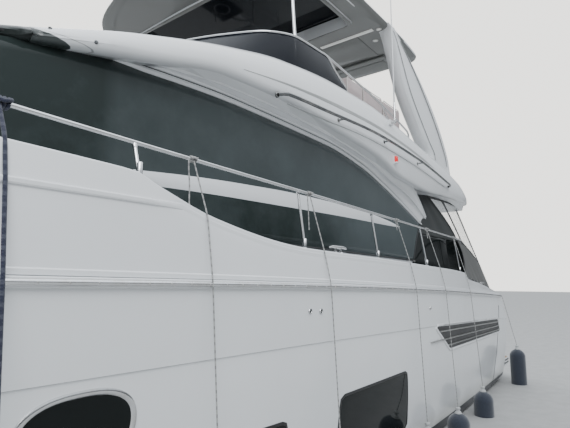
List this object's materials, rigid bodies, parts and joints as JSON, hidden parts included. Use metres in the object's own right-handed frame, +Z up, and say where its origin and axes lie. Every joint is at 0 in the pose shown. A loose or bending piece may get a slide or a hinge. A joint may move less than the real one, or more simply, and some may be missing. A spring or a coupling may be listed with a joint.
{
  "type": "motor yacht",
  "caption": "Flybridge motor yacht afloat: decked planing hull, glazed deckhouse, hardtop flybridge, canvas-enclosed cockpit, bathing platform, twin shafts and rudders.",
  "frame": {"origin": "on the waterline, on the centreline, amidships", "axes": "+X to the bow, +Y to port, +Z up"},
  "size_m": [21.43, 5.447, 8.6157],
  "materials": {
    "gelcoat": "white polished gelcoat",
    "tinted_glass": "dark grey-green tinted, polished",
    "stainless": "polished stainless steel",
    "canvas": "woven acrylic canvas",
    "cushion": "stitched upholstery",
    "fender_cover": "navy knitted cover",
    "bronze": "cast bronze",
    "wood": "satin varnished",
    "dash": "matte black"
  },
  "bodies": {
    "root": {"hull": "gelcoat", "stern": "gelcoat", "foredeck": "gelcoat", "side_deck_port": "gelcoat", "side_deck_stbd": "gelcoat", "bulwark_port": "gelcoat", "bulwark_stbd": "gelcoat", "rubbing_strake": "stainless", "swim_platform": "gelcoat", "coachroof": "gelcoat", "foredeck_sunpad": "cushion", "anchor_gear": "stainless", "guard_rail": "stainless", "fender_1": "fender_cover", "fender_2": "fender_cover", "fender_3": "fender_cover", "fender_4": "fender_cover", "fender_5": "fender_cover", "shaft_port": "stainless", "shaft_stbd": "stainless", "deckhouse": "gelcoat", "side_glass_port": "tinted_glass", "side_glass_stbd": "tinted_glass", "windscreen": "tinted_glass", "saloon_sofa": "cushion", "galley_unit": "wood", "lower_console": "dash", "cockpit_bench": "cushion", "cockpit_table": "wood", "fly_stairs": "stainless", "canvas_enclosure": "canvas", "flybridge": "gelcoat", "fly_windscreen": "tinted_glass", "fly_console": "gelcoat", "upper_seat": "cushion", "fly_sofa": "cushion", "fly_table": "wood", "wet_bar": "gelcoat", "fly_rail": "stainless", "arch_port": "gelcoat", "arch_stbd": "gelcoat", "hardtop": "gelcoat", "antenna_mast": "gelcoat"},
    "garage_door": {"garage_door": "gelcoat"},
    "gate_port": {"transom_gate_port": "gelcoat"},
    "gate_stbd": {"transom_gate_stbd": "gelcoat"},
    "foredeck_hatch": {"foredeck_hatch": "tinted_glass"},
    "saloon_door": {"saloon_door": "tinted_glass"},
    "lower_wheel": {"lower_wheel": "stainless"},
    "upper_wheel": {"upper_wheel": "stainless"},
    "rudder_port": {"rudder_port": "bronze"},
    "rudder_stbd": {"rudder_stbd": "bronze"},
    "propeller_port": {"propeller_port": "bronze"},
    "propeller_stbd": {"propeller_stbd": "bronze"},
    "tab_port": {"trim_tab_port": "stainless"},
    "tab_stbd": {"trim_tab_stbd": "stainless"},
    "sunroof": {"sunroof": "tinted_glass"},
    "radar": {"radar_scanner": "gelcoat"},
    "antenna": {"vhf_antenna_port": "gelcoat"},
    "stair_hatch": {"stair_hatch": "gelcoat"}
  },
  "joints": [
    {"name": "garage_door_hinge", "type": "hinge", "parent": "root", "child": "garage_door", "pos_m": [-9.5724, 0, 1.44], "axis": [0, 1, 0], "range_deg": [0, 85]},
    {"name": "gate_port_hinge", "type": "hinge", "parent": "root", "child": "gate_port", "pos_m": [-9.025, 1.8876, 1.75], "axis": [0, 0, 1], "range_deg": [0, 80]},
    {"name": "gate_stbd_hinge", "type": "hinge", "parent": "root", "child": "gate_stbd", "pos_m": [-9.025, -1.8876, 1.75], "axis": [0, 0, -1], "range_deg": [0, 80]},
    {"name": "foredeck_hatch_hinge", "type": "hinge", "parent": "root", "child": "foredeck_hatch", "pos_m": [7.088, 0, 2.7684], "axis": [0, 1, 0], "range_deg": [0, 75]},
    {"name": "saloon_door_slide", "type": "slide", "parent": "root", "child": "saloon_door", "axis": [0, 1, 0], "range_m": [0, 0.9]},
    {"name": "lower_wheel_turn", "type": "hinge", "parent": "root", "child": "lower_wheel", "pos_m": [0.84, -0.9, 2.29], "axis": [1, 0, 0], "range_deg": [-540, 540]},
    {"name": "upper_wheel_turn", "type": "hinge", "parent": "root", "child": "upper_wheel", "pos_m": [-2.42, -0.7, 4.5], "axis": [1, 0, 0], "range_deg": [-540, 540]},
    {"name": "rudder_port_turn", "type": "hinge", "parent": "root", "child": "rudder_port", "pos_m": [-8.9, 1.05, -0.8], "axis": [0, 0, 1], "range_deg": [-35, 35]},
    {"name": "rudder_stbd_turn", "type": "hinge", "parent": "root", "child": "rudder_stbd", "pos_m": [-8.9, -1.05, -0.8], "axis": [0, 0, 1], "range_deg": [-35, 35]},
    {"name": "propeller_port_spin", "type": "hinge", "parent": "root", "child": "propeller_port", "pos_m": [-8, 1.05, -0.88], "axis": [0.9925, 0, 0.1219], "continuous": true},
    {"name": "propeller_stbd_spin", "type": "hinge", "parent": "root", "child": "propeller_stbd", "pos_m": [-8, -1.05, -0.88], "axis": [0.9925, 0, 0.1219], "continuous": true},
    {"name": "tab_port_hinge", "type": "hinge", "parent": "root", "child": "tab_port", "pos_m": [-10.1084, 1.3814, -0.1593], "axis": [0, -0.9512, -0.3086], "range_deg": [0, 20]},
    {"name": "tab_stbd_hinge", "type": "hinge", "parent": "root", "child": "tab_stbd", "pos_m": [-10.1084, -1.3814, -0.1593], "axis": [0, -0.9512, 0.3086], "range_deg": [0, 20]},
    {"name": "sunroof_slide", "type": "slide", "parent": "root", "child": "sunroof", "axis": [-1, 0, 0], "range_m": [0, 1]},
    {"name": "radar_spin", "type": "hinge", "parent": "root", "child": "radar", "pos_m": [-6.25, 0, 6.8], "axis": [0, 0, 1], "continuous": true},
    {"name": "antenna_fold", "type": "hinge", "parent": "root", "child": "antenna", "pos_m": [-4.65, 2.33, 4.25], "axis": [0, -1, 0], "range_deg": [0, 88]},
    {"name": "stair_hatch_hinge", "type": "hinge", "parent": "root", "child": "stair_hatch", "pos_m": [-6.222, 1.125, 3.8384], "axis": [0, 1, 0], "range_deg": [0, 85]}
  ],
  "couplings": [
    {"joint": "upper_wheel_turn", "follows": "lower_wheel_turn", "ratio": 1},
    {"joint": "rudder_port_turn", "follows": "lower_wheel_turn", "ratio": 0.0648},
    {"joint": "rudder_stbd_turn", "follows": "lower_wheel_turn", "ratio": 0.0648}
  ]
}
